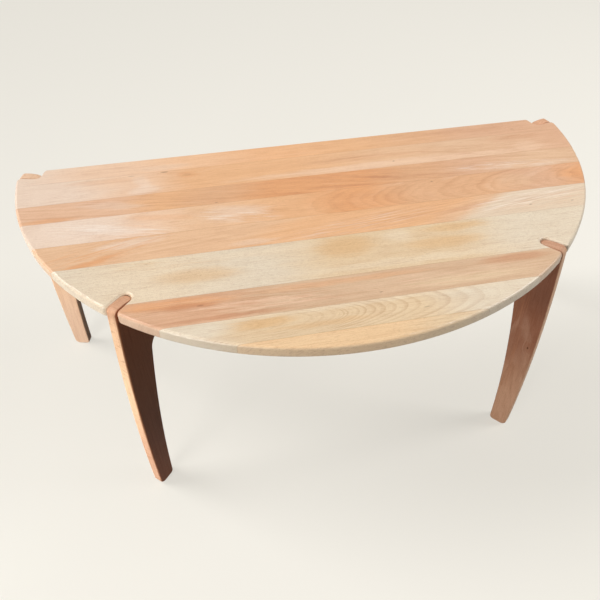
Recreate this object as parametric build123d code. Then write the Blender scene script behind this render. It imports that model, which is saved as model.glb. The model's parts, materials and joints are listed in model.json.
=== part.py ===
"""Half-round low table: an edge-glued stave top on four plate legs let into slots in its edge.

Millimetres, +Z up, floor at z = 0. X runs along the straight rear edge, and the curved rim
faces -Y. The origin lies on the floor, under the middle of the table's width and depth.
"""
import os
from math import acos, degrees, hypot, radians, sin

from build123d import *
from build123d.topology import SkipClean

# Top
table_height = 510.0
top_radius = 600.0
top_thickness = 22.0
edge_round = 5.0

# Staves of the top as ripped, from the rear edge to the rim; they share what the depth leaves over or lacks
stave_1_width = 58.0
stave_2_width = 79.0
stave_3_width = 61.0
stave_4_width = 75.0
stave_5_width = 69.0
stave_6_width = 106.0
stave_7_width = 64.0
stave_8_width = 54.0
stave_9_width = 34.0

# Slots and notches in the edge of the top
slot_depth = 45.0
mouth_round = 9.0
horn_round = 7.0
leg_clearance = 0.2

# Where the legs stand: the front slots straddle the glue line in front of the sixth stave
staves_behind_slots = 6
front_leg_past_joint = 9.0
rear_leg_inset = 5.0
rear_leg_setback = 11.0
rear_leg_turn = 14.0

# Leg plate: widths and heights in the plane of the plate
leg_thickness = 20.0
leg_bow = 7.5
foot_width = 36.0
foot_straight = 30.0
foot_outer_round = 12.0
foot_inner_round = 8.0
leg_edge_round = 3.0
tongue_end_flat = 0.4

# Head of the leg in its slot: crowned, and sunk below the table's face by these depths
head_rim_recess = 1.5
head_crown_recess = 0.4
head_end_recess = 5.5
head_crown_place = 14.0
head_round = 10.0

# Knee and the arm that carries the top
knee_width = 61.5
knee_depth = 100.0
knee_round = 30.0
arm_reach = 200.0
arm_tip_depth = 45.0
arm_tip_round = 15.0

# Fixings are spread evenly along the arm: a dowel at either end and screws between
fixings_per_arm = 4

# Dowels between arm and top
dowel_diameter = 8.0
dowel_length = 30.0
dowel_in_top = 12.0
dowel_chamfer = 1.0
dowel_clearance = 0.1
dowel_end_gap = 0.5

# Screws through the arm into the top
screw_diameter = 5.0
screw_length = 40.0
screw_tip = 4.0
screw_head_diameter = 10.0
screw_head_height = 3.5
screw_head_round = 1.5
socket_width = 3.0
socket_depth = 2.0
screw_seat = 24.0
screw_clearance = 0.1
counterbore_clearance = 0.5

# Values worked out from the sizes above
touch = 0.001
seam_share = 0.75
top_depth = top_radius
rear_edge = top_depth / 2
underside = table_height - top_thickness
ripped_widths = [
    stave_1_width, stave_2_width, stave_3_width, stave_4_width, stave_5_width,
    stave_6_width, stave_7_width, stave_8_width, stave_9_width,
]
stave_share = (top_depth - sum(ripped_widths)) / len(ripped_widths)
stave_widths = [width + stave_share for width in ripped_widths]
front_leg_reach = sum(stave_widths[:staves_behind_slots]) + front_leg_past_joint
front_leg_angle = degrees(acos(front_leg_reach / top_radius))
rim_height = table_height - head_rim_recess
tongue_length = slot_depth - leg_clearance
slot_half = leg_thickness / 2 + leg_clearance
tongue_end_round = (leg_thickness - tongue_end_flat) / 2
fixing_pitch = (arm_reach - slot_depth) / fixings_per_arm
fixing_places = [slot_depth + fixing_pitch * (i + 0.5) for i in range(fixings_per_arm)]
dowel_places = [fixing_places[0], fixing_places[-1]]
screw_places = fixing_places[1:-1]


def front_place():
    """Place of the front left leg: on the rim, with its arm pointing at the middle of the rear edge."""
    x = -top_radius * sin(radians(front_leg_angle))
    return Location((x, rear_edge - front_leg_reach, 0), (0, 0, 90 - front_leg_angle))


def rear_place():
    """Place of the rear left leg: in the corner, with its arm turned forwards from the rear edge."""
    return Location((rear_leg_inset - top_radius, rear_edge - rear_leg_setback, 0), (0, 0, -rear_leg_turn))


def both_sides(solid):
    """The left-hand solid and its mirror image on the right."""
    return solid, mirror(solid, about=Plane.YZ)


def leg_outline():
    """Side view of a leg: local x runs inwards from the rim, local y up from the floor."""
    knee = (knee_width, underside - knee_depth)
    foot_top = (foot_width, foot_straight)
    arm_tip = (arm_reach, underside - arm_tip_depth)
    head_rim = (0, rim_height)
    head_crown = (head_crown_place, table_height - head_crown_recess)
    head_end = (tongue_length, table_height - head_end_recess)
    lines = Curve() + [
        ThreePointArc((0, 0), (-leg_bow, rim_height / 2), head_rim),
        ThreePointArc(head_rim, head_crown, head_end),
        Polyline(head_end, (tongue_length, underside), (arm_reach, underside), arm_tip, knee),
        TangentArc(foot_top, knee, tangent=(0, 1)),
        Polyline(foot_top, (foot_width, 0), (0, 0)),
    ]
    face = make_face(lines)
    corners = (
        ((0, 0), foot_outer_round),
        ((foot_width, 0), foot_inner_round),
        (head_rim, head_round),
        (knee, knee_round),
        (arm_tip, arm_tip_round),
    )
    for corner, radius in corners:
        face = fillet(face.vertices().sort_by_distance((*corner, 0))[0], radius)
    return face


def soft_edges(leg):
    """Edges of a leg that the hand meets: all but the bearing edge of the arm and the tongue's flanks."""
    tongue_flank = tongue_length - tongue_end_round

    def is_soft(edge):
        middle = edge.center(CenterOf.BOUNDING_BOX)
        bears = abs(middle.Z - underside) < touch and middle.X > tongue_length
        flank = abs(middle.X - tongue_flank) < touch and middle.Z > underside
        return not bears and not flank

    sides = leg.faces().filter_by(Axis.Y).edges().filter_by(is_soft)
    head_end = leg.faces().sort_by(Axis.Z)[-1].edges().filter_by_position(Axis.X, tongue_flank, tongue_length)
    return sides + head_end.filter_by(lambda edge: abs(edge.center().X - tongue_flank) > touch)


def fixing_bores():
    """Dowel holes and stepped screw holes through an arm and into the top, in the leg's own frame."""
    bores = []
    dowel_height = dowel_length + 2 * dowel_end_gap
    dowel_middle = underside + dowel_in_top - dowel_length / 2
    for x in dowel_places:
        bores.append(Pos(x, 0, dowel_middle) * Cylinder(dowel_diameter / 2 + dowel_clearance, dowel_height))
    seat = underside - screw_seat
    upwards = (Align.CENTER, Align.CENTER, Align.MIN)
    downwards = (Align.CENTER, Align.CENTER, Align.MAX)
    for x in screw_places:
        shank_bore = Cylinder(screw_diameter / 2 + screw_clearance, screw_length + screw_clearance, align=upwards)
        head_bore = Cylinder(screw_head_diameter / 2 + counterbore_clearance, knee_depth, align=downwards)
        bores.append(Pos(x, 0, seat) * (shank_bore + head_bore))
    return bores


def leg():
    """One plate leg with its tongue, knee and bored arm."""
    plate = extrude(Plane.XZ * leg_outline(), amount=leg_thickness / 2, both=True)
    tongue_edges = plate.edges().filter_by(Axis.Z)
    tongue_edges = tongue_edges.filter_by_position(Axis.X, tongue_length - touch, tongue_length + touch)
    plate = fillet(tongue_edges, tongue_end_round)
    plate = fillet(soft_edges(plate), leg_edge_round)
    return plate - fixing_bores()


def dowels():
    """The two glue dowels of a leg, with chamfered ends."""
    pin = Cylinder(dowel_diameter / 2, dowel_length)
    pin = chamfer(pin.edges().filter_by(GeomType.CIRCLE), dowel_chamfer)
    middle = underside + dowel_in_top - dowel_length / 2
    return [Pos(x, 0, middle) * pin for x in dowel_places]


def screws():
    """The two pan-head screws of a leg, head down, with a hexagon socket."""
    shank = screw_diameter / 2
    head = screw_head_diameter / 2
    profile = Polyline(
        (0, screw_length), (shank, screw_length - screw_tip), (shank, 0), (head, 0),
        (head, -screw_head_height), (0, -screw_head_height), close=True,
    )
    section = make_face(profile)
    section = fillet(section.vertices().sort_by_distance((head, -screw_head_height, 0))[0], screw_head_round)
    screw = revolve(Plane.XZ * section, Axis.Z)
    socket = extrude(RegularPolygon(socket_width / 2, 6, major_radius=False), socket_depth)
    screw -= Pos(0, 0, -screw_head_height) * socket
    return [Pos(x, 0, underside - screw_seat) * screw for x in screw_places]


def slot():
    """Cutter for a slot, in the leg's frame: a straight mouth with a round inner end."""
    round_middle = slot_depth - slot_half
    mouth = Pos(round_middle, 0) * Rectangle(top_radius / 2, 2 * slot_half, align=(Align.MAX, Align.CENTER))
    return mouth + Pos(round_middle, 0) * Circle(slot_half)


def notch():
    """Cutter for a rear notch: the same slot, laid open to the rear edge."""
    opening = Rectangle(top_radius / 2, top_radius / 2, align=(Align.MAX, Align.MIN))
    return slot() + Pos(slot_depth, 0) * opening


def top():
    """The whole top before it is divided into staves: outline, rounded edges and fixing holes."""
    disc = Pos(0, rear_edge) * Circle(top_radius)
    plan = disc & Pos(0, rear_edge) * Rectangle(2 * top_radius, top_radius, align=(Align.CENTER, Align.MAX))
    for place, cutter in ((front_place(), slot()), (rear_place(), notch())):
        for half in both_sides(place * cutter):
            plan -= half
    plate = Pos(0, 0, underside) * extrude(plan, top_thickness)

    def from_middle(edge):
        return hypot(edge.center().X, edge.center().Y - rear_edge)

    upright = plate.edges().filter_by(Axis.Z)
    horns = upright.filter_by_position(Axis.Y, rear_edge - touch, rear_edge + touch)
    plate = fillet(horns, horn_round)
    upright = plate.edges().filter_by(Axis.Z)
    mouths = upright.filter_by(lambda edge: abs(from_middle(edge) - top_radius) < touch)
    plate = fillet(mouths, mouth_round)
    outlines = plate.faces().sort_by(Axis.Z)[-1].edges() + plate.faces().sort_by(Axis.Z)[0].edges()
    plate = fillet(outlines, edge_round)
    for place in (front_place(), rear_place()):
        for bore in fixing_bores():
            for half in both_sides(place * bore):
                plate -= half
    return plate


def with_seams(stave):
    """The last stave, its long rim divided into three faces by seams towards its thin tips."""
    seam = seam_share * stave.bounding_box().max.X
    left_seam, right_seam = (Plane((x, 0, 0), z_dir=(1, 0, 0)) for x in (-seam, seam))
    left_tip = split(stave, left_seam, keep=Keep.BOTTOM)
    right_tip = split(stave, right_seam, keep=Keep.TOP)
    middle = split(split(stave, left_seam, keep=Keep.TOP), right_seam, keep=Keep.BOTTOM)
    with SkipClean():
        return left_tip + middle + right_tip


def staves():
    """The top divided at its glue lines, from the rear edge forwards."""
    rest = top()
    pieces = {}
    back = rear_edge
    for number, width in enumerate(stave_widths[:-1], start=1):
        back -= width
        glue_line = Plane((0, back, 0), z_dir=(0, 1, 0))
        pieces[f"stave_{number}"] = split(rest, glue_line, keep=Keep.TOP)
        rest = split(rest, glue_line, keep=Keep.BOTTOM)
    pieces[f"stave_{len(stave_widths)}"] = with_seams(rest)
    return pieces


def assembly():
    """Every piece of the table by name."""
    pieces = staves()
    for end, place in (("front", front_place()), ("rear", rear_place())):
        left_leg, right_leg = both_sides(place * leg())
        pieces[f"leg_{end}_left"] = left_leg
        pieces[f"leg_{end}_right"] = right_leg
        for name, group in (("dowels", dowels()), ("screws", screws())):
            pairs = [both_sides(place * solid) for solid in group]
            pieces[f"{name}_{end}_left"] = Compound(children=[left for left, right in pairs])
            pieces[f"{name}_{end}_right"] = Compound(children=[right for left, right in pairs])
    return pieces


os.makedirs("parts", exist_ok=True)
for node, piece in assembly().items():
    export_step(piece, f"parts/{node}.step")
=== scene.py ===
import json
from dataclasses import dataclass
from math import atan2, radians
from typing import NamedTuple

import bpy
from mathutils import Euler, Matrix, Vector


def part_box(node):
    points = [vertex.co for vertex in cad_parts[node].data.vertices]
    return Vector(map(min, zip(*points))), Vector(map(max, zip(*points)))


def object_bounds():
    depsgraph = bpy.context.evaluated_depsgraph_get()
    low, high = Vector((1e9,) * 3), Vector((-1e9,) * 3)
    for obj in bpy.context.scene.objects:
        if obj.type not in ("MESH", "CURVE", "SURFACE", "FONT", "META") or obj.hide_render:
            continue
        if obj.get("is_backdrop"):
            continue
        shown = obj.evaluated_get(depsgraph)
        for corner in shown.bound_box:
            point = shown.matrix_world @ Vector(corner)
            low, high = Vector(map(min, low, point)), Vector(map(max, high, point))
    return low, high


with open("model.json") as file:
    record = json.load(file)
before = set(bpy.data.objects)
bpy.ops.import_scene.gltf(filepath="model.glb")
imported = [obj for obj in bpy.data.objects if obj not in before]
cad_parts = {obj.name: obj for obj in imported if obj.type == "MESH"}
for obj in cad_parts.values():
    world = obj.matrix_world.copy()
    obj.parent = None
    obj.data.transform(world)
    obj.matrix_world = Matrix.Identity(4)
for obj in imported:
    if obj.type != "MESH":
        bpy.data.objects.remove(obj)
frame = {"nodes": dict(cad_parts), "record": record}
cad_low, cad_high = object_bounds()

MM = 0.001

# Camera: place, aim and roll, and how far the picture is shifted, as shares of its width
camera_place = (-0.2160, -0.8768, 1.1919)
camera_heading = -9.29
camera_dip = 39.23
camera_roll = -1.33
camera_sensor = 36.0
camera_lens = 36.50
camera_shift = (0.0171, -0.0907)

# Key light: a soft sun from the left and a little from behind, its angles in degrees
key_turn = -20.0
key_rise = 45.0
key_spread = 30.0
key_strength = 2.32

# Disc lamps: place, target, size, power and spread in degrees
LAMPS = {
    "overhead": ((-0.70, 0.35, 2.20), (-0.70, 0.35, 0.0), 1.6, 5.8, 180),
    "side": ((-1.10, -0.62, 0.15), (-0.50, 0.05, 0.15), 0.3, 0.60, 60),
    "front": ((-2.70, -2.70, 1.00), (-0.10, -0.10, 0.40), 1.6, 88.0, 180),
    "fill": ((3.20, -0.50, 2.70), (0.20, -0.10, 0.50), 1.6, 82.0, 180),
}

# World: what it lights with, and how it looks
world_strength = 0.02
backdrop_strength = 0.80

# Floor: how much of its colour the lamps light, how much glows by itself, and what it throws back
floor_size = 14.0
floor_share = 0.78
floor_glow = 0.62
floor_bounce = (0.060, 0.036, 0.022, 1.0)

# Legs: the front ones point at the middle of the rear edge, the rear ones are turned from that edge;
# their seeds follow those of the staves
rear_leg_turn = 14.0
first_leg_seed = 11


def srgb(*levels):
    """A colour as a screen shows it, 0 to 255, as linear values."""
    linear = [((level / 255 + 0.055) / 1.055) ** 2.4 for level in levels]
    return (*linear, 1.0)


# Tones of beech under a satin lacquer
MILK = srgb(249, 234, 220)
ROSE = srgb(241, 217, 196)
BLOSSOM = srgb(243, 207, 176)
PEACH = srgb(245, 199, 158)
APRICOT = srgb(242, 188, 140)
TAWNY = srgb(237, 186, 139)
HONEY = srgb(235, 193, 154)
CORAL = srgb(235, 192, 158)
SAND = srgb(229, 190, 154)
DUNE = srgb(220, 187, 154)
FAWN = srgb(228, 179, 137)
CLAY = srgb(223, 177, 142)
AMBER = srgb(231, 169, 118)
STRAW = srgb(231, 205, 168)
CREAM = srgb(238, 219, 190)
MIST = srgb(232, 217, 193)
OAT = srgb(231, 210, 184)
TAN = srgb(226, 188, 140)
PEAR = srgb(240, 205, 161)
RUSSET = srgb(200, 138, 98)
BARK = srgb(104, 66, 44)
LEG_FAIR = srgb(250, 208, 168)
LEG_PALE = srgb(236, 189, 152)
LEG_WARM = srgb(222, 174, 141)
# Partly the front right leg's darker board, partly painted shade
LEG_DARK_AND_SHADE = srgb(168, 116, 90)
LEG_HEAD = srgb(203, 158, 130)
# Painted shadow of the table top on the upper front right leg
LEG_PAINTED_SHADOW = srgb(140, 95, 74)
RAW = srgb(214, 182, 140)
ZINC = srgb(196, 198, 200)
SLATE = srgb(150, 156, 168)
LINEN = srgb(252, 248, 238)

# What darker features, and painted shade on a leg's far face, multiply the wood's colour by
LATE_TINT = srgb(206, 176, 150)
STREAK_TINT = srgb(212, 178, 150)
FLECK_TINT = srgb(168, 130, 104)
GLUE_TINT = srgb(190, 160, 132)
# Painted shade for the far face of a leg
FAR_FACE_SHADE_TINT = srgb(170, 120, 95)


class Grain(NamedTuple):
    """A noise in a material, between whose levels a mark comes up.

    Its size is its length, breadth and depth in millimetres, and stirred is how far it is distorted.
    """
    size: tuple
    detail: float
    roughness: float = 0.5
    levels: tuple = (0.0, 1.0)
    stirred: float = 0.0


# Beech: slow and quick bends of the rings, then rays, vessels, fibres, bands along the rings, and clouds.
# The depth of the bands is a share of the slow bend.
WANDER = Grain((210.0, 38.0, 38.0), 2.0, 0.55)
WOBBLE = Grain((34.0, 11.0, 11.0), 1.0)
RAYS = Grain((2.4, 0.45, 14.0), 0.0, levels=(0.62, 0.74))
VESSELS = Grain((8.0, 1.6, 18.0), 1.0, levels=(0.52, 0.72))
FIBRES = Grain((60.0, 1.6, 1.6), 3.0, 0.6, (0.48, 0.74))
BANDS = Grain((260.0, 7.0, 0.5), 2.0, 0.6, (0.45, 0.75))
CLOUDS = Grain((75.0, 24.0, 24.0), 3.0, 0.55, (0.40, 0.72), 0.6)

# Where the bands turn pale, and how far apart the noises of two boards lie
pale_levels = (0.45, 0.25)
seed_step = 37.0

# Streaks: their length as a multiple of their pitch, their noise, and how far out they stay strong, as
# oval measures it
streak_reach = 26.0
streak_detail, streak_roughness = 2.0, 0.6
streak_levels = (0.46, 0.66)
streak_core = 0.1

# Rings: how many pass before their pace changes, and by how many they slip, also round a core; where late
# wood starts, is full and ends within a ring; how strong the faintest ring is, and a ring that has faded
ring_run = 5.0
ring_slip = 3.0
core_slip = 0.15
late_start, late_full, late_end = 0.35, 0.92, 0.93
ring_least = 0.3
ring_faded = 0.1

# Bends: of the rings, as a share of their sway; of colours along and of stains, in millimetres; and how
# far fibres fray the edge of a stain
wobble_share = 0.35
drift_bend = 90.0
patch_bend = 50.0
patch_ripple = 10.0
patch_fray = 1.6

# Pins: how far out they push the rings and stay dark, as oval measures it
pin_reach = 30.0
pin_core = 0.15

# Rim: how far up a surface faces there and on the top, how faint the figure gets, and how far a pale
# painted sheen covers the wood
rim_levels = (0.2, 0.9)
rim_figure = 0.35
rim_painted_sheen = 0.5

# Fine marks: how strong the fibres and glue lines are, and how far a glue line reaches in millimetres
fibre_share = 0.36
glue_share = 0.7
glue_reach = (0.35, 0.1)

# Painted shade browns a leg beyond these depths in millimetres, towards its far face, and painted light
# pales its edge where the edge faces outwards this far
heart_depths = (-7.5, -9.5)
sap_facing = (-0.3, -0.9)

# Satin surface: how rough the wood is and what rays and fibres add, how far rays, fibres and late wood
# dip and how deep the whole relief is, then the lacquer
wood_rough, ray_rough, fibre_rough = 0.34, 0.10, 0.14
ray_dip, fibre_dip, late_dip = 0.8, 0.5, 0.25
wood_relief = 0.12 * MM
lacquer_rough = 0.22
refraction = 1.45
bump_strength = 0.6

# Dowels: their grain, how strongly it shows, how rough they are, and their relief
DOWEL_GRAIN = Grain((0.7, 0.7, 20.0), 3.0, 0.6, (0.4, 0.75))
dowel_share = 0.7
dowel_rough, dowel_grain_rough = 0.6, 0.2
dowel_relief = 0.10 * MM

# Screws: the spangle of the zinc, how strongly it shows, the pitch of turning marks, and the surface
SPANGLE = Grain((2.4, 2.4, 2.4), 3.0, levels=(0.35, 0.7))
spangle_share = 0.5
mark_pitch = 0.18
steel_rough, spangle_rough, mark_rough = 0.20, 0.22, 0.10
steel_relief = 0.03 * MM


class Patch(NamedTuple):
    """A soft oval stain: its middle, slope, half length and half width, and its colour and share."""
    along: float
    across: float
    slope: float
    length: float
    width: float
    colour: tuple
    share: float


class Streaks(NamedTuple):
    """Fine streaks that fade out towards the edge of an oval, about a pitch apart."""
    along: float
    across: float
    slope: float
    length: float
    width: float
    pitch: float
    colour: tuple
    share: float


class Pin(NamedTuple):
    """A pin knot or dark dash: its middle, half length and width, darkness, and push on the rings."""
    along: float
    across: float
    length: float
    width: float
    dark: float
    swell: float
    slope: float = 0.0


@dataclass
class Board:
    """A board: colours along it, how it was sawn from the log, and what its figure shows.

    Places are along and across the board in millimetres. The pith lies aside of the board's middle
    and below its face, and leans aside and down along the board. With a core, rings widen outwards
    from that radius. The rings come up between the two places of fade. Far face shade is how brown
    painted shade makes the far face, and outer edge light how pale painted light makes the outer edge.
    """
    drift: list
    pith: tuple
    lean: tuple
    ring: float = 3.6
    core: float = 0.0
    late: float = 0.16
    fade: tuple = ()
    sway: float = 4.0
    shear: float = 0.0
    band: float = 0.20
    pale: tuple = BLOSSOM
    cloud: float = 0.12
    stipple: float = 0.10
    flecks: float = 0.25
    coat: float = 0.22
    gloss: float = 0.5
    heart: float = 0.0
    sap: float = 0.0
    patches: tuple = ()
    streaks: tuple = ()
    pins: tuple = ()


class Socket:
    """An output of a node; arithmetic on it adds Math nodes."""

    def __init__(self, nodes, output):
        self.nodes = nodes
        self.output = output

    def math(self, operation, *values):
        return self.nodes.add("ShaderNodeMath", {"operation": operation}, dict(enumerate(values)))

    def __add__(self, other):
        return self.math("ADD", self, other)

    def __radd__(self, other):
        return self.math("ADD", other, self)

    def __sub__(self, other):
        return self.math("SUBTRACT", self, other)

    def __rsub__(self, other):
        return self.math("SUBTRACT", other, self)

    def __mul__(self, other):
        return self.math("MULTIPLY", self, other)

    def __rmul__(self, other):
        return self.math("MULTIPLY", other, self)

    def __truediv__(self, other):
        return self.math("DIVIDE", self, other)

    def __rtruediv__(self, other):
        return self.math("DIVIDE", other, self)

    def __pow__(self, other):
        return self.math("POWER", self, other)

    def __neg__(self):
        return self.math("MULTIPLY", self, -1.0)

    def __abs__(self):
        return self.math("ABSOLUTE", self)


class Nodes:
    """A node tree under construction."""

    def __init__(self, tree):
        self.tree = tree
        self.tree.nodes.clear()

    def add(self, kind, settings=None, inputs=None, output=0):
        """Add a node of any kind: its settings first, then the values or links of its sockets."""
        node = self.tree.nodes.new(kind)
        for name, value in (settings or {}).items():
            if name == "stops":
                self.set_stops(node.color_ramp, value)
            else:
                setattr(node, name, value)
        for key, value in (inputs or {}).items():
            if isinstance(value, Socket):
                self.tree.links.new(value.output, node.inputs[key])
            else:
                node.inputs[key].default_value = value
        return Socket(self, node.outputs[output]) if node.outputs else None

    def set_stops(self, ramp, stops):
        """Give a colour ramp its stops, with soft passages between them."""
        ramp.interpolation = "EASE"
        while len(ramp.elements) < len(stops):
            ramp.elements.new(1.0)
        for element, (place, colour) in zip(ramp.elements, stops):
            element.position = place
            element.color = colour

    def blend(self, share, first, second, how="MIX"):
        """Mix two colours."""
        settings = {"data_type": "RGBA", "blend_type": how, "clamp_factor": True}
        return self.add("ShaderNodeMix", settings, {0: share, 6: first, 7: second}, 2)

    def tint(self, share, colour, tone):
        """Multiply a colour by a tone, as far as the share goes."""
        return self.blend(share, colour, tone, "MULTIPLY")

    def ease(self, value, low, high, start=0.0, end=1.0):
        """Run smoothly from start to end as the value goes from low to high."""
        inputs = {"Value": value, "From Min": low, "From Max": high, "To Min": start, "To Max": end}
        return self.add("ShaderNodeMapRange", {"interpolation_type": "SMOOTHSTEP"}, inputs)

    def vector(self, x, y, z):
        return self.add("ShaderNodeCombineXYZ", None, {0: x, 1: y, 2: z})

    def split(self, vector):
        """The three parts of a vector."""
        return [self.add("ShaderNodeSeparateXYZ", None, {0: vector}, axis) for axis in range(3)]

    def noise(self, x, y, z, detail=2.0, roughness=0.5, distortion=0.0):
        """Smooth noise, about 0 to 1, at a place that is already scaled."""
        inputs = {
            "Vector": self.vector(x, y, z), "Scale": 1.0,
            "Detail": detail, "Roughness": roughness, "Distortion": distortion,
        }
        return self.add("ShaderNodeTexNoise", {"noise_dimensions": "3D"}, inputs)

    def grain(self, place, grain, shift=0.0):
        """The noise of a grain at a place in millimetres, shifted along."""
        x, y, z = [part / size for part, size in zip(place, grain.size)]
        return self.noise(x + shift, y, z, grain.detail, grain.roughness, grain.stirred)

    def marks(self, noise, grain, share=1.0):
        """How strongly a grain shows, from its noise."""
        return self.ease(noise, *grain.levels, 0.0, share)

    def to_eye(self):
        """1 for rays from the eye, also by way of a reflection or through glass, otherwise 0."""
        kinds = ("Camera", "Glossy", "Transmission")
        camera_ray, glossy_ray, clear_ray = [
            self.add("ShaderNodeLightPath", output=f"Is {kind} Ray") for kind in kinds
        ]
        seen = camera_ray.math("MAXIMUM", camera_ray, glossy_ray)
        return seen.math("MAXIMUM", seen, clear_ray)

    def place(self, origin=(0, 0, 0), turn=0.0):
        """Object coordinates in millimetres from an origin, in a frame turned about the upright axis."""
        inputs = {
            "Vector": self.add("ShaderNodeTexCoord", output="Object"),
            "Location": origin, "Rotation": (0, 0, turn), "Scale": (MM, MM, MM),
        }
        return self.split(self.add("ShaderNodeMapping", {"vector_type": "TEXTURE"}, inputs))

    def facing(self, turn):
        """How far a surface faces along a level direction, from -1 to 1."""
        inputs = {"Vector": self.add("ShaderNodeTexCoord", output="Normal"), "Rotation": (0, 0, -turn)}
        return self.split(self.add("ShaderNodeMapping", {"vector_type": "VECTOR"}, inputs))[0]


class Finish(Nodes):
    """A material under construction."""

    def __init__(self, name):
        self.material = bpy.data.materials.new(name)
        self.material.use_nodes = True
        super().__init__(self.material.node_tree)

    def surface(self, colour, roughness, height, depth, **constants):
        """The surface itself, with its fine relief."""
        bump = {"Strength": bump_strength, "Distance": depth, "Height": height}
        inputs = {
            "Base Color": colour, "Roughness": roughness, "IOR": refraction,
            "Normal": self.add("ShaderNodeBump", None, bump), **constants,
        }
        shader = self.add("ShaderNodeBsdfPrincipled", None, inputs)
        self.add("ShaderNodeOutputMaterial", None, {"Surface": shader})
        return self.material


def oval(along, across, spot):
    """How far out of a sloping oval a place lies, squared: 0 in its middle, 1 on its edge."""
    ahead = along - spot.along
    aside = across - spot.across - ahead * spot.slope
    return (ahead / spot.length) ** 2.0 + (aside / spot.width) ** 2.0


def streak_share(finish, axes, streaks):
    """How strongly a group of streaks shows at a place."""
    along, across, through = axes
    level = across - along * streaks.slope
    size = (streak_reach * streaks.pitch, streaks.pitch, streaks.pitch)
    lines = Grain(size, streak_detail, streak_roughness, streak_levels)
    fade = finish.ease(oval(along, across, streaks), 1.0, streak_core, 0.0, streaks.share)
    return finish.marks(finish.grain((along, level, through), lines), lines) * fade


def ring_lines(finish, grown, board, offset):
    """Late wood: each ring darkens outwards and ends at a sharp edge, some more than others."""
    uneven = (finish.noise(grown / (ring_run * board.ring), offset, 0.0, 1.0) - 0.5) * ring_slip
    if board.core:
        count = ((grown - board.core) / board.ring) ** 0.5 * 2.0 + uneven * core_slip
    else:
        count = grown / board.ring + uneven
    phase = count.math("FRACT", count)
    line = finish.ease(phase, late_start, late_full) * finish.ease(phase, 1.0, late_end)
    number = count.math("FLOOR", count)
    strength = finish.add("ShaderNodeTexWhiteNoise", {"noise_dimensions": "1D"}, {"W": number})
    return line * (strength * (1.0 - ring_least) + ring_least)


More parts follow.
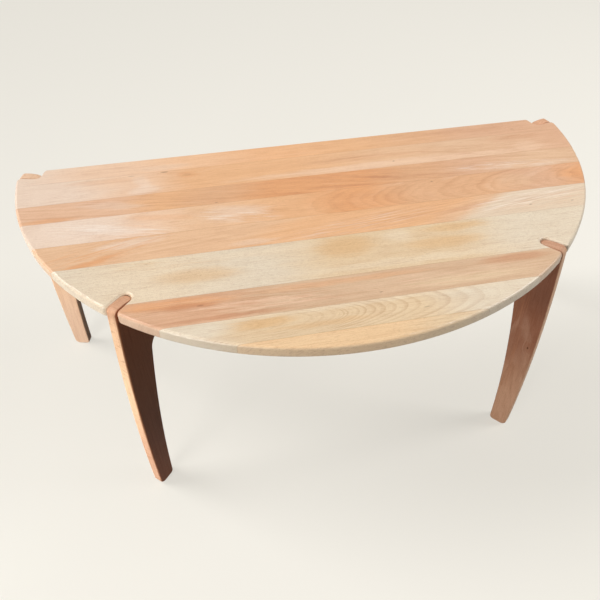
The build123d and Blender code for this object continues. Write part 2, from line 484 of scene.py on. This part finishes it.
def beech(finish, axes, board, seed, joints=(), rim=False, inward=None):
    """Lacquered beech: growth rings about a leaning pith, with rays, streaks, stains and pins.

    Joints are the places across where glue lines run, rim gives the sides a pale painted sheen and a
    plainer figure than the face, and inward is how far a leg's surface faces towards the table.
    """
    along, across, through = axes
    offset = seed * seed_step
    wander = finish.grain(axes, WANDER, offset) - 0.5
    wobble = finish.grain(axes, WOBBLE, offset) - 0.5
    aside = across - board.pith[0] - along * board.lean[0]
    below = through + board.pith[1] + along * board.lean[1]
    radius = (aside * aside + below * below) ** 0.5
    grown = radius + wander * (2 * board.sway) + wobble * (wobble_share * board.sway)
    for pin in board.pins:
        grown = grown + finish.ease(oval(along, across, pin), pin_reach, 0.0, 0.0, pin.swell)
    late_line = ring_lines(finish, grown, board, offset)
    if board.fade:
        late_line = late_line * finish.ease(along, *board.fade, ring_faded, 1.0)

    # Rays and vessels show as short dashes, fibres as long fine lines
    turn = aside.math("ARCTAN2", aside, below) * radius
    round_pith = (along, turn, radius)
    ray = finish.marks(finish.grain(round_pith, RAYS, offset), RAYS)
    vessel = finish.marks(finish.grain(round_pith, VESSELS, -offset), VESSELS)
    fibre = finish.grain(axes, FIBRES, offset)
    band = finish.grain((along, grown, wander), BANDS, -offset)
    cloud = finish.grain(axes, CLOUDS, -offset)

    # Colour along the board, then stains and streaks, from the broad to the fine
    low, high = board.drift[0][0], board.drift[-1][0]
    stops = [((x - low) / (high - low), colour) for x, colour in board.drift]
    reach = (along - across * board.shear - low + wander * drift_bend) / (high - low)
    colour = finish.add("ShaderNodeValToRGB", {"stops": stops}, {"Fac": reach})
    for patch in board.patches:
        edge = oval(along + wander * patch_bend, across + wobble * patch_ripple, patch)
        edge = edge + (fibre - 0.5) * patch_fray
        colour = finish.blend(finish.ease(edge, 1.0, 0.0, 0.0, patch.share), colour, patch.colour)
    colour = finish.tint(finish.marks(cloud, CLOUDS, board.cloud), colour, LATE_TINT)
    colour = finish.tint(finish.marks(band, BANDS, board.band), colour, STREAK_TINT)
    colour = finish.blend(finish.ease(band, *pale_levels, 0.0, board.band), colour, board.pale)
    for streaks in board.streaks:
        colour = finish.blend(streak_share(finish, axes, streaks), colour, streaks.colour)
    face = 1.0
    if rim:
        normal = finish.split(finish.add("ShaderNodeTexCoord", output="Normal"))
        face = finish.ease(abs(normal[2]), *rim_levels, rim_figure, 1.0)
        # Painted sheen: where the rim faces sideways, its colour is blended towards a pale grey cream
        colour = finish.blend((1.0 - face) * rim_painted_sheen, colour, MIST)
    colour = finish.tint(late_line * board.late * face, colour, LATE_TINT)
    colour = finish.tint(finish.marks(fibre, FIBRES, fibre_share) * face, colour, STREAK_TINT)
    colour = finish.tint(vessel * board.stipple, colour, FLECK_TINT)
    colour = finish.tint(ray * board.flecks, colour, FLECK_TINT)
    for joint in joints:
        glue = finish.ease(abs(across - joint), *glue_reach, 0.0, glue_share) * face
        colour = finish.tint(glue, colour, GLUE_TINT)
    # Painted shade: a leg's far face is browned, as if it stood in shade
    if board.heart:
        colour = finish.tint(finish.ease(through, *heart_depths, 0.0, board.heart), colour, FAR_FACE_SHADE_TINT)
    # Painted light: a leg's edge is paled where it faces outwards, as if its rounding caught the light
    if board.sap:
        colour = finish.blend(finish.ease(inward, *sap_facing, 0.0, board.sap), colour, LEG_PALE)
    for pin in board.pins:
        dark = finish.ease(oval(along, across, pin), 1.0, pin_core, 0.0, pin.dark)
        colour = finish.blend(dark, colour, BARK)

    roughness = ray * ray_rough + fibre * fibre_rough + wood_rough
    height = -(ray * ray_dip + fibre * fibre_dip + late_line * late_dip)
    lacquer = {
        "Coat Weight": board.coat, "Coat Roughness": lacquer_rough, "Coat IOR": refraction,
        "Specular IOR Level": board.gloss,
    }
    return finish.surface(colour, roughness, height, wood_relief, **lacquer)


def raw_wood(name):
    """Unfinished beech of a dowel, its grain upright."""
    finish = Finish(name)
    grain = finish.grain(finish.place(), DOWEL_GRAIN)
    colour = finish.tint(finish.marks(grain, DOWEL_GRAIN, dowel_share), RAW, STREAK_TINT)
    return finish.surface(colour, grain * dowel_grain_rough + dowel_rough, -grain, dowel_relief)


def plated_steel(name):
    """Zinc-plated steel with a faint cloudy spangle and turning marks."""
    finish = Finish(name)
    place = finish.place()
    spangle = finish.grain(place, SPANGLE)
    marks = finish.noise(0.0, 0.0, place[2] / mark_pitch, 1.0)
    colour = finish.blend(finish.marks(spangle, SPANGLE, spangle_share), ZINC, SLATE)
    roughness = spangle * spangle_rough + marks * mark_rough + steel_rough
    return finish.surface(colour, roughness, marks, steel_relief, Metallic=1.0)


def paint(node, material):
    """Give a CAD node its finish."""
    mesh = frame["nodes"][node].data
    for index in range(len(mesh.materials)):
        mesh.materials[index] = material
    if not mesh.materials:
        mesh.materials.append(material)


# Staves of the top, from the rear edge to the rim; across is measured towards the rear
STAVES = {
    "stave_1": Board(
        drift=[
            (-600, ROSE), (-420, BLOSSOM), (-230, PEACH), (-60, APRICOT), (110, TAWNY), (250, FAWN),
            (400, CLAY), (600, CLAY),
        ],
        pith=(-150, 30), lean=(0.015, 0.0), ring=4.5, late=0.10, band=0.14,
        patches=(Patch(-300, -13, 0, 70, 14, ROSE, 0.3), Patch(410, 3, -0.02, 150, 16, RUSSET, 0.14)),
        streaks=(Streaks(365, 4, 0.0, 170, 12, 3.0, RUSSET, 0.22),),
        pins=(Pin(490, -9, 5, 1.6, 0.4, 0),),
    ),
    "stave_2": Board(
        drift=[
            (-600, ROSE), (-490, ROSE), (-370, BLOSSOM), (-230, TAWNY), (-40, TAWNY),
            (190, HONEY), (350, SAND), (600, CLAY),
        ],
        pith=(-130, 45), lean=(0.02, 0.0), ring=4.0, late=0.14, band=0.12,
        patches=(
            Patch(-420, 24, -0.05, 90, 12, FAWN, 0.35), Patch(-340, -24, 0, 40, 20, MILK, 0.35),
            Patch(-343, 8, 0, 20, 28, MILK, 0.25),
            Patch(-250, 17, 0, 28, 15, AMBER, 0.55), Patch(120, 6, 0, 160, 13, FAWN, 0.6),
            Patch(190, -27, 0, 420, 17, BLOSSOM, 0.75), Patch(486, -18, 0, 42, 26, BLOSSOM, 0.4),
            Patch(480, 24, 0, 85, 14, RUSSET, 0.2),
            Patch(110, 12, 0.03, 120, 3, RUSSET, 0.35), Patch(275, 1, -0.22, 85, 4, RUSSET, 0.3),
        ),
        streaks=(
            Streaks(130, 12, 0.03, 170, 15, 3.2, RUSSET, 0.32),
            Streaks(330, -4, -0.10, 160, 30, 2.4, RUSSET, 0.32),
            Streaks(480, 24, 0.10, 85, 15, 2.4, RUSSET, 0.45),
        ),
        pins=(
            Pin(-296, 36, 10, 2.4, 0.5, 6), Pin(-364, 34, 9, 2.2, 0.25, 6),
            Pin(-450, 34, 9, 2.0, 0.15, 5),
            Pin(-250, 18, 12, 6.0, 0.12, 10), Pin(185, -19, 3, 1.5, 0.7, 3),
        ),
    ),
    "stave_3": Board(
        drift=[
            (-600, CORAL), (-400, CORAL), (-300, TAWNY), (-200, FAWN),
            (-60, AMBER), (90, AMBER), (210, FAWN),
            (340, CLAY), (470, SAND), (600, SAND),
        ],
        pith=(120, 40), lean=(-0.12, 0.0), ring=3.2, late=0.30, band=0.24,
        patches=(
            Patch(-520, -24, 0, 70, 9, AMBER, 0.6), Patch(-400, 4, -0.18, 90, 16, ROSE, 0.4),
            Patch(130, -1, -0.20, 75, 5, RUSSET, 0.5), Patch(260, -16, -0.12, 90, 4, RUSSET, 0.3),
            Patch(430, -17, -0.05, 130, 12, BLOSSOM, 0.3),
            Patch(60, -20, -0.06, 90, 5, RUSSET, 0.3),
        ),
        streaks=(
            Streaks(420, -12, -0.06, 160, 18, 2.2, MILK, 0.65),
            Streaks(130, 0, -0.19, 220, 26, 2.6, RUSSET, 0.50),
            Streaks(-320, 2, -0.15, 200, 26, 3.0, RUSSET, 0.30),
        ),
        pins=(Pin(-198, -26, 4, 1.4, 0.5, 0),),
    ),
    "stave_4": Board(
        drift=[
            (-600, ROSE), (-440, ROSE), (-330, BLOSSOM), (-230, HONEY),
            (-60, TAWNY), (70, AMBER), (200, FAWN),
            (330, FAWN), (450, CLAY), (600, AMBER),
        ],
        pith=(-9, 163), lean=(0.0, -0.10), ring=3.0, late=0.24, fade=(-100, 70), band=0.14,
        sway=3.0, pale=ROSE,
        patches=(
            Patch(-310, 14, -0.15, 80, 13, APRICOT, 0.4), Patch(-390, -10, -0.22, 90, 16, MILK, 0.5),
            Patch(-160, 8, -0.1, 70, 24, ROSE, 0.45), Patch(40, 10, 0, 100, 34, AMBER, 0.4),
            Patch(400, 0, 0, 50, 34, SAND, 0.5), Patch(540, 3, 0, 55, 24, AMBER, 0.7),
        ),
        streaks=(
            Streaks(-400, -8, -0.22, 150, 34, 3.6, MILK, 0.65),
            Streaks(-160, -10, -0.20, 95, 30, 3.0, MILK, 0.6),
            Streaks(290, 4, 0.24, 120, 34, 3.4, RUSSET, 0.25),
            Streaks(-40, 0, -0.06, 130, 34, 3.0, RUSSET, 0.25),
        ),
        pins=(Pin(236, 28, 3, 1.5, 0.6, 0.5),),
    ),
    "stave_5": Board(
        drift=[
            (-560, HONEY), (-400, HONEY), (-180, HONEY), (-50, TAWNY), (200, TAWNY), (275, HONEY),
            (335, OAT), (600, OAT),
        ],
        pith=(-110, 35), lean=(0.12, 0.0), ring=4.2, late=0.16, band=0.20, shear=1.8,
        patches=(
            Patch(-432, -24, 0.30, 75, 11, AMBER, 0.85), Patch(-360, 18, 0.10, 80, 15, ROSE, 0.65),
            Patch(-144, -22, 0, 55, 12, ROSE, 0.4), Patch(270, 2, 0.17, 80, 8, RUSSET, 0.4),
        ),
        streaks=(
            Streaks(-420, -4, 0.32, 150, 42, 5.0, AMBER, 0.6),
            Streaks(60, -8, 0.12, 180, 30, 3.2, MILK, 0.35),
            Streaks(150, -2, 0.15, 230, 34, 3.4, RUSSET, 0.32),
            Streaks(400, 8, 0.12, 160, 28, 2.8, MILK, 0.75),
            Streaks(430, -4, 0.10, 130, 30, 2.8, FAWN, 0.35),
        ),
        pins=(Pin(392, -13, 4, 1.4, 0.6, 2), Pin(476, -16, 4, 1.4, 0.6, 2)),
    ),
    "stave_6": Board(
        drift=[
            (-520, MIST), (-330, CREAM), (-140, MIST), (-10, STRAW),
            (200, STRAW), (340, MIST), (520, MIST),
        ],
        pith=(130, 60), lean=(-0.06, 0.02), ring=3.8, late=0.10, band=0.10, pale=CREAM,
        cloud=0.08, stipple=0.18, flecks=0.45,
        patches=(
            Patch(-250, -4, 0, 90, 24, TAN, 0.6), Patch(15, 22, 0, 68, 38, TAN, 0.9),
            Patch(225, 38, 0, 80, 15, TAN, 0.8), Patch(190, 0, 0, 95, 20, TAN, 0.75),
            Patch(-120, 35, 0, 120, 14, CREAM, 0.6),
            Patch(112, 34, 0, 36, 22, CREAM, 0.7), Patch(120, -36, 0, 300, 12, CREAM, 0.6),
        ),
        streaks=(Streaks(-300, 34, -0.10, 130, 18, 3.0, TAN, 0.45),),
    ),
    "stave_7": Board(
        drift=[(-400, CLAY), (-250, CLAY), (-120, DUNE), (400, DUNE)],
        pith=(-160, 50), lean=(0.02, 0.0), ring=3.2, late=0.16, band=0.24,
        patches=(
            Patch(-290, 18, -0.03, 120, 15, AMBER, 0.85), Patch(-262, 8, -0.02, 55, 9, RUSSET, 0.6),
            Patch(-165, -1, -0.02, 130, 7, BLOSSOM, 0.7), Patch(-120, -14, 0, 150, 6, BLOSSOM, 0.5),
            Patch(-200, -24, 0, 140, 6, RUSSET, 0.5), Patch(-20, 20, 0, 190, 9, FAWN, 0.7),
            Patch(190, -13, 0, 140, 13, STRAW, 0.6), Patch(300, 20, 0, 85, 14, RUSSET, 0.55),
        ),
        streaks=(
            Streaks(-180, 6, -0.03, 220, 30, 2.6, RUSSET, 0.50),
            Streaks(150, -4, 0.0, 230, 26, 2.8, BLOSSOM, 0.35),
        ),
        pins=(Pin(-247, 7, 7, 2.2, 0.35, 2), Pin(43, -18, 4, 1.4, 0.4, 0)),
    ),
    "stave_8": Board(
        drift=[(-340, MIST), (-250, MIST), (-180, STRAW), (90, STRAW), (190, MIST), (340, MIST)],
        pith=(8, 42), lean=(0.0, 0.16), ring=0.6, core=36.5, late=0.38, fade=(270, 110),
        band=0.08, sway=1.4, pale=CREAM,
        patches=(
            Patch(-160, 10, 0, 65, 15, TAN, 0.95), Patch(0, 24, 0, 300, 8, CREAM, 0.7),
            Patch(-70, -8, 0, 110, 8, TAN, 0.55),
        ),
        pins=(Pin(104, -5, 8, 1.1, 0.4, 0, 0.1),),
    ),
    "stave_9": Board(
        drift=[(-220, PEAR), (30, PEAR), (140, STRAW), (220, MIST)],
        pith=(90, 50), lean=(0.02, 0.0), ring=3.5, late=0.10, band=0.12, cloud=0.10, stipple=0.18,
    ),
}
for number, (node, board) in enumerate(STAVES.items(), start=1):
    low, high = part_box(node)
    finish = Finish(f"{node}_beech")
    axes = finish.place((0, (low.y + high.y) / 2, high.z))
    half = (high.y - low.y) / 2 / MM
    joints = []
    if number > 1:
        joints.append(half)
    if number < len(STAVES):
        joints.append(-half)
    paint(node, beech(finish, axes, board, number, joints, rim=True))


def leg_board(foot_tone, knee_tone, neck_tone, head_tone, **figure):
    """A leg's board: along runs up from the floor, across from the outer edge inwards."""
    drift = [
        (0, foot_tone), (90, foot_tone), (300, knee_tone), (400, neck_tone), (465, neck_tone),
        (500, head_tone), (510, head_tone),
    ]
    return Board(drift, ring=3.4, late=0.18, coat=0.0, gloss=0.12, **figure)


LEGS = {
    # Front left: the light middle partly stands in for light on its outer edge, the darker head is
    # painted shade where its top dips away from the light, and its far face gets painted shade
    "front_left": leg_board(
        LEG_WARM, LEG_FAIR, LEG_FAIR, LEG_WARM, pith=(-40, 70), lean=(0.02, 0.02), heart=0.85,
    ),
    # Front right: a darker board with painted shade down its face, painted shadow of the top under it,
    # and painted light on its outer edge
    "front_right": leg_board(
        LEG_WARM, LEG_DARK_AND_SHADE, LEG_PAINTED_SHADOW, LEG_HEAD, pith=(4, 34), lean=(0.02, 0.05), sway=7.0, sap=0.9,
        streaks=(Streaks(250, 20, 0.03, 230, 26, 4.0, RUSSET, 0.25),),
        pins=(Pin(257, -14, 4, 2.2, 0.9, 5),),
    ),
    # Rear left: the paler tones partly stand in for light on its front face and a highlight on its head
    "rear_left": leg_board(BLOSSOM, LEG_FAIR, LEG_FAIR, BLOSSOM, pith=(-70, 40), lean=(0.03, 0.0)),
    "rear_right": leg_board(LEG_PALE, LEG_PALE, LEG_PALE, LEG_WARM, pith=(50, 60), lean=(0.0, 0.03)),
}
FEET = {mount["name"]: mount["pos_m"] for mount in frame["record"]["mounts"]}
rear_edge = cad_high.y
for number, (corner, board) in enumerate(LEGS.items(), start=first_leg_seed):
    foot = FEET[f"foot_{corner}"]
    turn = atan2(rear_edge - foot[1], -foot[0])
    if corner == "rear_left":
        turn = radians(-rear_leg_turn)
    if corner == "rear_right":
        turn = radians(180 + rear_leg_turn)
    finish = Finish(f"leg_{corner}_beech")
    inwards, sideways, upwards = finish.place(foot, turn)
    inward = finish.facing(turn)
    paint(f"leg_{corner}", beech(finish, (upwards, inwards, sideways), board, number, inward=inward))

dowel_finish = raw_wood("dowel_beech")
screw_finish = plated_steel("screw_steel")
for node in frame["nodes"]:
    if node.startswith("dowels"):
        paint(node, dowel_finish)
    if node.startswith("screws"):
        paint(node, screw_finish)

# Floor: pale to the eye and in reflections, with less light thrown back on the table
bpy.ops.mesh.primitive_plane_add(size=floor_size, location=(0, 0, 0))
floor = bpy.context.object
floor.name = "floor"
ground = Finish("floor_pale")
to_eye = ground.to_eye()
shown = (*(floor_share * level for level in LINEN[:3]), 1.0)
shaded = ground.add("ShaderNodeBsdfDiffuse", None, {"Color": ground.blend(to_eye, floor_bounce, shown)})
glow = ground.add("ShaderNodeEmission", None, {"Color": LINEN, "Strength": 1.0})
both = ground.add("ShaderNodeMixShader", None, {0: to_eye * floor_glow, 1: shaded, 2: glow})
ground.add("ShaderNodeOutputMaterial", None, {"Surface": both})
floor.data.materials.append(ground.material)
floor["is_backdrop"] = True

# Light
key_data = bpy.data.lights.new("key", "SUN")
key_data.energy = key_strength
key_data.angle = radians(key_spread)
key = bpy.data.objects.new("key", key_data)
key.rotation_euler = Euler((0, radians(key_rise - 90), radians(key_turn)))
bpy.context.scene.collection.objects.link(key)
for name, (place, target, size, power, spread) in LAMPS.items():
    lamp_data = bpy.data.lights.new(name, "AREA")
    lamp_data.shape = "DISK"
    lamp_data.size = size
    lamp_data.energy = power
    lamp_data.spread = radians(spread)
    lamp = bpy.data.objects.new(name, lamp_data)
    lamp.location = place
    lamp.rotation_euler = (Vector(place) - Vector(target)).to_track_quat("Z", "Y").to_euler()
    bpy.context.scene.collection.objects.link(lamp)
world = bpy.data.worlds.new("studio")
world.use_nodes = True
sky = Nodes(world.node_tree)
glimmer = sky.add("ShaderNodeBackground", None, {"Color": LINEN, "Strength": world_strength})
backdrop = sky.add("ShaderNodeBackground", None, {"Color": LINEN, "Strength": backdrop_strength})
both = sky.add("ShaderNodeMixShader", None, {0: sky.to_eye(), 1: glimmer, 2: backdrop})
sky.add("ShaderNodeOutputWorld", None, {"Surface": both})
bpy.context.scene.world = world

# Camera
camera_data = bpy.data.cameras.new("camera")
camera_data.sensor_width = camera_sensor
camera_data.lens = camera_lens
camera_data.shift_x, camera_data.shift_y = camera_shift
camera_data.dof.use_dof = False
camera = bpy.data.objects.new("camera", camera_data)
heading = Matrix.Rotation(radians(camera_heading), 4, "Z")
dip = Matrix.Rotation(radians(90 - camera_dip), 4, "X")
roll = Matrix.Rotation(radians(camera_roll), 4, "Z")
camera.matrix_world = Matrix.Translation(camera_place) @ heading @ dip @ roll
bpy.context.scene.collection.objects.link(camera)
bpy.context.scene.camera = camera
bpy.context.scene.view_settings.view_transform = "Standard"

low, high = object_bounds()
